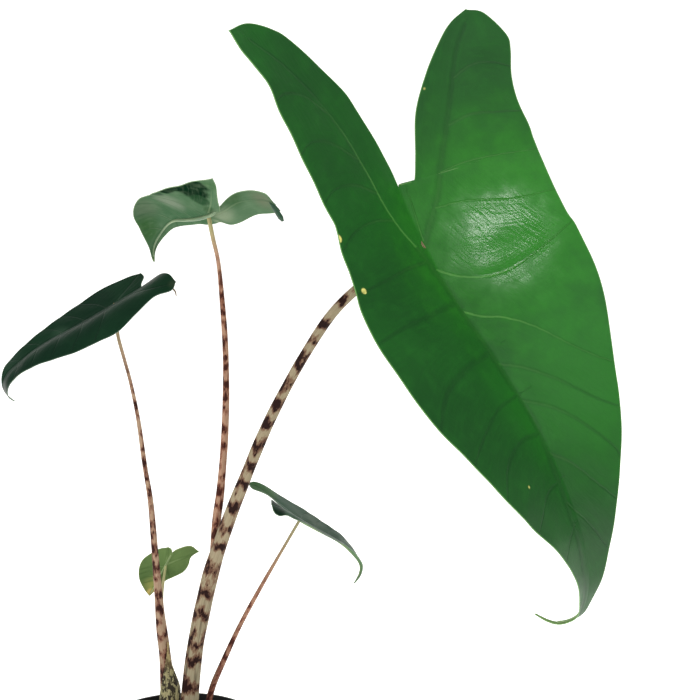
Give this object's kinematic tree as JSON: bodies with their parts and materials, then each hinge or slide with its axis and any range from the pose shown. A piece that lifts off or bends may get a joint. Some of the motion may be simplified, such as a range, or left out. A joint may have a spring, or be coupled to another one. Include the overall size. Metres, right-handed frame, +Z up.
{
  "type": "potted zebrina alocasia",
  "caption": "House plant with arrow-shaped leaves on tall zebra-banded stalks, rooted in soil in a plain black nursery pot",
  "frame": {"origin": "centre of the pot's flat base", "axes": "+Z up through the pot's middle, -Y towards the side that the plant faces, +X to the right seen from there, where the big leaf hangs"},
  "size_m": [0.3749, 0.2573, 0.5815],
  "materials": {
    "pot": "satin",
    "soil": "matte",
    "petiole": "satin",
    "petiole_pale": "satin",
    "blade": "gloss",
    "blade_dark": "gloss",
    "sheath": "matte"
  },
  "bodies": {
    "root": {"pot": "pot", "soil": "soil", "petiole_main": "petiole", "petiole_upper": "petiole", "petiole_left": "petiole", "petiole_right": "petiole", "petiole_small": "petiole_pale", "blade_main": "blade", "blade_upper": "blade_dark", "blade_left": "blade_dark", "blade_right": "blade_dark", "blade_small": "blade", "sheath_stub": "sheath"}
  },
  "joints": []
}
